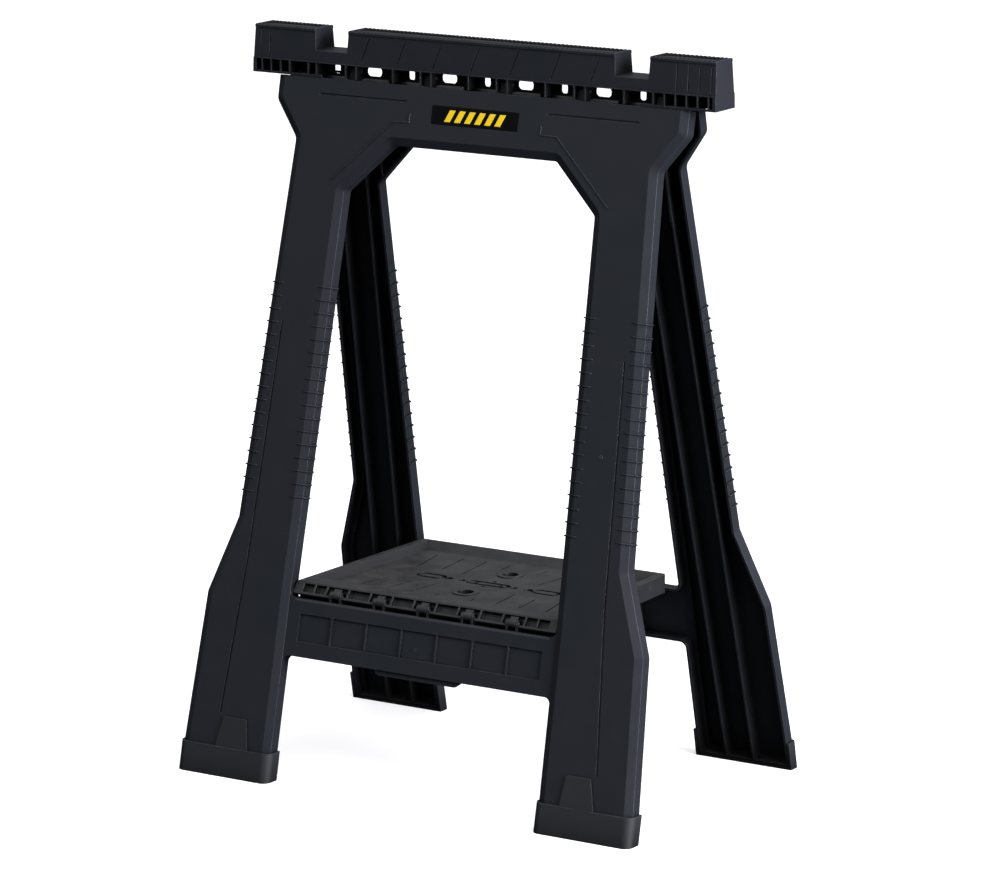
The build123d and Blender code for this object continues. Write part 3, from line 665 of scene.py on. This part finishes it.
# ------------------------------------------------------------------------------ sub-assemblies
@dataclass
class GripRibs:
    """Short ribs moulded round both long edges of one leg, where the hands fold it.

    Args:
        side: Which leg frame.
        end: -1 for the left leg, 1 for the right one.
        count: Ribs on each edge.
        lowest: Height of the lowest rib.
        pitch: Height from one rib to the next.
        width: Width of a rib along the leg.
        side_proud: How far it stands out from the leg's side.
        face_proud: How far it stands out from the leg's face.
        face_reach: How far it runs on to the face.
        band_width: Width of the sloping band along the leg's edge, on the face.
        band_drop: How far the band falls back.
        depth: Depth of the leg, front to back.
        sunk: How deep a rib's root lies inside the leg.
        slices: The rib's cross-sections along its width: place, as a share of the width, and
            how far that section is pulled in, in millimetres.
        edges: Where the leg's two edges run: for each, two points as (height, distance from
            the middle of the beam).
    """

    side: Side
    end: int
    count: int = 17
    lowest: float = 300.5 * MM
    pitch: float = 13.75 * MM
    width: float = 1.5 * MM
    side_proud: float = 2.2 * MM
    face_proud: float = 0.8 * MM
    face_reach: float = 15.5 * MM
    band_width: float = 8.5 * MM
    band_drop: float = 4.0 * MM
    depth: float = 17.0 * MM
    sunk: float = 0.3 * MM
    slices: tuple = ((-0.5, 0.45), (-0.28, 0.0), (0.28, 0.0), (0.5, 0.45))
    edges: dict = field(default_factory=lambda: {
        Edge.OUTER: ((272.2 * MM, 242.1 * MM), (672.7 * MM, 223.3 * MM)),
        Edge.INNER: ((197.0 * MM, 166.0 * MM), (622.8 * MM, 154.8 * MM)),
    })

    def edge_place(self, edge: Edge, height: float) -> float:
        """Distance from the middle of the beam to a leg's edge.

        Args:
            edge: Which edge of the leg.
            height: Height above the floor.

        Returns:
            The distance along X, always positive.
        """
        (low, low_x), (high, high_x) = self.edges[edge]
        return low_x + (high_x - low_x) * (height - low) / (high - low)

    def section(self, shrink: float) -> list[tuple[float, float]]:
        """Outline of a rib, as (distance out from the side, distance out from the face).

        Args:
            shrink: How far the outline is pulled in, for the rib's rounded shoulders.

        Returns:
            The outline's points.
        """
        back = 0.2 * MM - self.depth
        side_out = self.side_proud - shrink
        face_out = self.face_proud * (1.0 - shrink / self.side_proud)
        return [
            (-self.face_reach, -self.sunk),
            (-self.face_reach + shrink, 0.15 * face_out),
            (-self.face_reach + 3.0 * MM, face_out),
            (-self.band_width + 0.3 * MM, face_out),
            (side_out - 0.7 * MM, 0.6 * MM - self.band_drop),
            (side_out, -self.band_drop),
            (side_out, back + 1.2 * MM + shrink),
            (0.3 * side_out, back),
            (-self.sunk, back),
            (-self.sunk, -self.band_drop - 0.1 * MM),
            (-self.band_width, -self.sunk),
        ]

    def build(self, material: bpy.types.Material) -> None:
        """Mesh all the ribs of this leg as one piece.

        Args:
            material: Finish of the leg.
        """
        face = LeaningFace(self.side)
        mesh = bmesh.new()
        for edge in Edge:
            for k in range(self.count):
                height = self.lowest + k * self.pitch
                x = self.edge_place(edge, height)
                rings = []
                for across, shrink in self.slices:
                    level = height + across * self.width
                    ring = []
                    for out, proud in self.section(shrink * MM):
                        ring.append(face.point(self.end * (x + edge.value * out), level, proud))
                    rings.append(ring)
                add_prism(mesh, rings)
        end_name = "left" if self.end < 0 else "right"
        piece = mesh_piece(f"{self.side.name.lower()}_{end_name}_grip_ribs", mesh, material)
        report(piece, self.side.body)


@dataclass
class BadgeBars:
    """A row of plain slanted bars printed on a badge plate.

    Args:
        side: Which leg frame.
        count: Number of bars.
        pitch: Distance from one bar to the next.
        width: Width of a bar.
        height: Height of the row.
        slant: How far a bar's top leans to the right.
        thickness: Thickness of the print.
        plate_proud: How far the plate stands out from the frame's face.
        layers: The print's cross-sections: height, as a share of the thickness, and how far
            the outline is pulled in, in millimetres.
    """

    side: Side
    count: int = 6
    pitch: float = 12.4 * MM
    width: float = 7.0 * MM
    height: float = 12.5 * MM
    slant: float = 6.0 * MM
    thickness: float = 0.22 * MM
    plate_proud: float = 0.3 * MM
    layers: tuple = ((-0.05, 0.0), (0.7, 0.0), (1.0, 0.25))

    def build(self, material: bpy.types.Material) -> None:
        """Mesh the bars on the plate's face as one piece.

        Args:
            material: Finish of the print.
        """
        face = LeaningFace(self.side)
        low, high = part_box(f"{self.side.name.lower()}_badge_plate")
        middle = (low.z + high.z) / 2
        centre = face.point(0.0, middle, self.plate_proud)
        mesh = bmesh.new()
        for k in range(self.count):
            x = (k - (self.count - 1) / 2) * self.pitch
            rings = []
            for share, pull in self.layers:
                proud = self.plate_proud + share * self.thickness
                ring = []
                for across, up in ((-1, -1), (1, -1), (1, 1), (-1, 1)):
                    half_width = self.width / 2 - pull * MM
                    half_height = self.height / 2 - pull * MM
                    place = x + across * half_width + up * self.slant / 2
                    level = centre.z + up * half_height * math.cos(face.lean())
                    ring.append(face.point(-self.side.value * place, level, proud))
                rings.append(ring)
            add_prism(mesh, rings)
        piece = mesh_piece(f"{self.side.name.lower()}_badge_bars", mesh, material)
        report(piece, self.side.body)


@dataclass
class GateMark:
    """The small crater that a moulding gate leaves in a face.

    Args:
        side: Which leg frame.
        name: Name of the mark.
        x: Place along the beam, seen from outside.
        height: Height above the floor.
        radius: Radius of the mark's rim.
        recess: How far the face under the mark is set back.
        segments: Points round the mark.
        profile: Rings of the crater, from the rim inwards: reach, as a share of the radius,
            and how far the ring stands out, in millimetres.
        waver: How far the rim strays from a circle, as a share of the radius.
    """

    side: Side
    name: str
    x: float
    height: float
    radius: float = 3.0 * MM
    recess: float = 0.0
    segments: int = 20
    profile: tuple = (
        (1.0, -0.3), (0.95, 0.18), (0.82, 0.34), (0.66, 0.2), (0.5, 0.04), (0.3, 0.1), (0.16, 0.5),
    )
    waver: float = 0.06

    def build(self, material: bpy.types.Material) -> None:
        """Mesh the rim and the torn stub inside it.

        Args:
            material: Finish of the moulding.
        """
        face = LeaningFace(self.side)
        mesh = bmesh.new()
        rings = []
        for reach, proud in self.profile:
            ring = []
            for k in range(self.segments):
                turn = 2 * math.pi * k / self.segments
                wobble = 1.0 + self.waver * math.sin(3 * turn)
                x = self.x + reach * wobble * self.radius * math.cos(turn)
                level = self.height + reach * wobble * self.radius * math.sin(turn)
                ring.append(face.point(-self.side.value * x, level, proud * MM - self.recess))
            rings.append(ring)
        add_prism(mesh, rings)
        piece = mesh_piece(f"{self.side.name.lower()}_{self.name}", mesh, material)
        for polygon in piece.data.polygons:
            polygon.use_smooth = True
        report(piece, self.side.body)


@dataclass
class Mouldings:
    """The CAD nodes, each dressed in the finish of its material slot.

    Args:
        finishes: Finish of each material slot, by the slot's name.
    """

    finishes: dict[str, bpy.types.Material]

    def dress(self) -> None:
        """Give every CAD node its finish."""
        for entry in frame["record"]["subparts"]:
            node = frame["nodes"][entry["node"]]
            material = self.finishes[entry["material_slot"]]
            if not node.material_slots:
                node.data.materials.append(material)
            for slot in node.material_slots:
                slot.material = material
            log.info("%s: dressed as %s", node.name, material.name)


# ------------------------------------------------------------------------------ studio
@dataclass(frozen=True)
class AreaLight:
    """A soft square light.

    Args:
        name: Name of the light.
        place: Where it stands.
        target: What it points at.
        size: Edge length.
        power: Power in watts.
        tint: Colour of the light.
    """

    name: str
    place: tuple[float, float, float]
    target: tuple[float, float, float]
    size: float
    power: float
    tint: tuple[float, float, float]

    def build(self) -> None:
        """Add the light to the scene."""
        data = bpy.data.lights.new(self.name, "AREA")
        data.energy = self.power
        data.size = self.size
        data.color = self.tint
        lamp = bpy.data.objects.new(self.name, data)
        lamp.location = self.place
        direction = Vector(self.target) - Vector(self.place)
        lamp.rotation_euler = direction.to_track_quat("-Z", "Y").to_euler()
        bpy.context.scene.collection.objects.link(lamp)


@dataclass
class Studio:
    """Floor, sky light, lamps and camera.

    Args:
        azimuth: Camera's turn from the front, towards +X, in degrees.
        elevation: Camera's height angle, in degrees.
        distance: Camera's distance from its aim point.
        aim_height: Height of the aim point.
        aim_right: How far the aim point stands to the camera's right of the middle.
        lens: Focal length, in millimetres.
        floor_size: Edge length of the floor.
        sky_strength: Strength of the sky light.
        sky_stops: Colour of the sky from straight below (0) to straight above (1).
        sun_strength: Strength of the overhead sun.
        sun_spread: Apparent size of the sun, in degrees.
        sun_tilt: How the sun is tipped off the vertical about X and Y, in degrees.
        softboxes: The area lights.
    """

    azimuth: float = 32.0
    elevation: float = 12.2
    distance: float = 5.2321
    aim_height: float = 0.3666
    aim_right: float = 0.0126
    lens: float = 177.31
    floor_size: float = 60.0
    sky_strength: float = 0.9
    sky_stops: tuple = (
        (0.0, shade(0.02, 0.02, 0.022)),
        (0.48, shade(0.02, 0.02, 0.024)),
        (0.60, shade(0.14, 0.15, 0.18)),
        (1.0, shade(1.0, 1.0, 1.0)),
    )
    sun_strength: float = 1.35
    sun_spread: float = 50.0
    sun_tilt: tuple[float, float] = (22.0, 24.0)
    softboxes: tuple[AreaLight, ...] = (
        AreaLight(
            "right_softbox", place=(3.3, -0.5, 1.1), target=(0.0, 0.0, 0.45),
            size=1.8, power=270.0, tint=(0.95, 0.94, 1.0),
        ),
        AreaLight(
            "front_softbox", place=(-0.8, -3.4, 3.6), target=(0.0, 0.0, 0.4),
            size=2.0, power=16.0, tint=(0.93, 1.0, 1.0),
        ),
    )

    def camera(self) -> None:
        """Stand the camera where the object is seen from the front right."""
        azimuth = math.radians(self.azimuth)
        elevation = math.radians(self.elevation)
        back = Vector((
            math.sin(azimuth) * math.cos(elevation),
            -math.cos(azimuth) * math.cos(elevation),
            math.sin(elevation),
        ))
        right = Vector((math.cos(azimuth), math.sin(azimuth), 0.0))
        aim = Vector((0.0, 0.0, self.aim_height)) + right * self.aim_right
        data = bpy.data.cameras.new("studio_camera")
        data.lens = self.lens
        data.sensor_width = SENSOR_WIDTH_MM
        data.sensor_fit = "HORIZONTAL"
        data.clip_end = 100.0
        camera = bpy.data.objects.new("studio_camera", data)
        camera.location = aim + back * self.distance
        camera.rotation_euler = (-back).to_track_quat("-Z", "Y").to_euler()
        bpy.context.scene.collection.objects.link(camera)
        bpy.context.scene.camera = camera

    def floor(self, material: bpy.types.Material) -> None:
        """Lay the floor, which takes shadows but throws no light back up.

        Args:
            material: Finish of the floor.
        """
        half = self.floor_size / 2
        data = bpy.data.meshes.new("studio_floor")
        corners = [(-half, -half, 0.0), (half, -half, 0.0), (half, half, 0.0), (-half, half, 0.0)]
        data.from_pydata(corners, [], [(0, 1, 2, 3)])
        data.materials.append(material)
        floor = bpy.data.objects.new("studio_floor", data)
        floor.visible_diffuse = False
        floor.visible_glossy = False
        bpy.context.scene.collection.objects.link(floor)

    def sky(self) -> None:
        """Soft light from above, weak at the horizon and dark below it; plain white to the eye."""
        world = bpy.data.worlds.new("studio_sky")
        world.use_nodes = True
        tree = world.node_tree
        tree.nodes.clear()
        place = tree.nodes.new("ShaderNodeTexCoord")
        parts = tree.nodes.new("ShaderNodeSeparateXYZ")
        ramp = tree.nodes.new("ShaderNodeValToRGB")
        fill_ramp(ramp.color_ramp, self.sky_stops)
        scaled = tree.nodes.new("ShaderNodeMapRange")
        scaled.inputs["From Min"].default_value = -1.0
        scaled.inputs["From Max"].default_value = 1.0
        seen = tree.nodes.new("ShaderNodeLightPath")
        soft = tree.nodes.new("ShaderNodeBackground")
        plain = tree.nodes.new("ShaderNodeBackground")
        plain.inputs["Color"].default_value = shade(1.0, 1.0, 1.0)
        soft.inputs["Strength"].default_value = self.sky_strength
        choice = tree.nodes.new("ShaderNodeMixShader")
        output = tree.nodes.new("ShaderNodeOutputWorld")
        links = (
            (place.outputs["Generated"], parts.inputs[0]),
            (parts.outputs[2], scaled.inputs["Value"]),
            (scaled.outputs[0], ramp.inputs[0]),
            (ramp.outputs[0], soft.inputs["Color"]),
            (seen.outputs["Is Camera Ray"], choice.inputs[0]),
            (soft.outputs[0], choice.inputs[1]),
            (plain.outputs[0], choice.inputs[2]),
            (choice.outputs[0], output.inputs["Surface"]),
        )
        for source, target in links:
            tree.links.new(source, target)
        bpy.context.scene.world = world

    def lamps(self) -> None:
        """A soft overhead sun, a large light on the right and a weak one in front."""
        sun = bpy.data.lights.new("overhead", "SUN")
        sun.energy = self.sun_strength
        sun.angle = math.radians(self.sun_spread)
        lamp = bpy.data.objects.new("overhead", sun)
        lamp.rotation_euler = (*map(math.radians, self.sun_tilt), 0.0)
        bpy.context.scene.collection.objects.link(lamp)
        for softbox in self.softboxes:
            softbox.build()

    def build(self, floor_material: bpy.types.Material) -> None:
        """Set up the whole studio.

        Args:
            floor_material: Finish of the floor.
        """
        self.camera()
        self.floor(floor_material)
        self.sky()
        self.lamps()
        bpy.context.scene.view_settings.view_transform = "Standard"
        log.info("studio: camera, floor, sky and lamps")


def main() -> None:
    """Build every finish and piece."""
    frame_plastic = MouldedPlastic(
        "charcoal_frame_plastic", shade(0.0125, 0.0155, 0.0200), shade(0.0150, 0.0160, 0.0215)
    ).material()
    shelf_plastic = MouldedPlastic(
        "charcoal_shelf_plastic", shade(0.0140, 0.0152, 0.0172), shade(0.0170, 0.0172, 0.0192),
        roughness=0.5, scuffs=0.9, dust_and_top_light=0.6,
    ).material()
    foot_plastic = MouldedPlastic(
        "charcoal_foot_plastic", shade(0.0140, 0.0165, 0.0200), shade(0.0170, 0.0180, 0.0215),
        roughness=0.62, scuffs=1.0, dust_and_top_light=0.5,
    ).material()
    Mouldings({
        "frame_plastic": frame_plastic,
        "shelf_plastic": shelf_plastic,
        "foot_cap": foot_plastic,
        "badge": SatinPlate().material(),
        "hinge_pin": PinSteel().material(),
    }).dress()

    yellow = PrintedYellow().material()
    for side in Side:
        for end in (-1, 1):
            GripRibs(side, end).build(frame_plastic)
        BadgeBars(side).build(yellow)
        crossbar_mark = GateMark(
            side, "crossbar_gate_mark", x=-5 * MM, height=161.6 * MM, recess=6.2 * MM,
        )
        crossbar_mark.build(frame_plastic)
        GateMark(side, "leg_gate_mark", x=196 * MM, height=383 * MM).build(frame_plastic)

    Studio().build(PaleFloor().material())


if __name__ == "__main__":
    main()
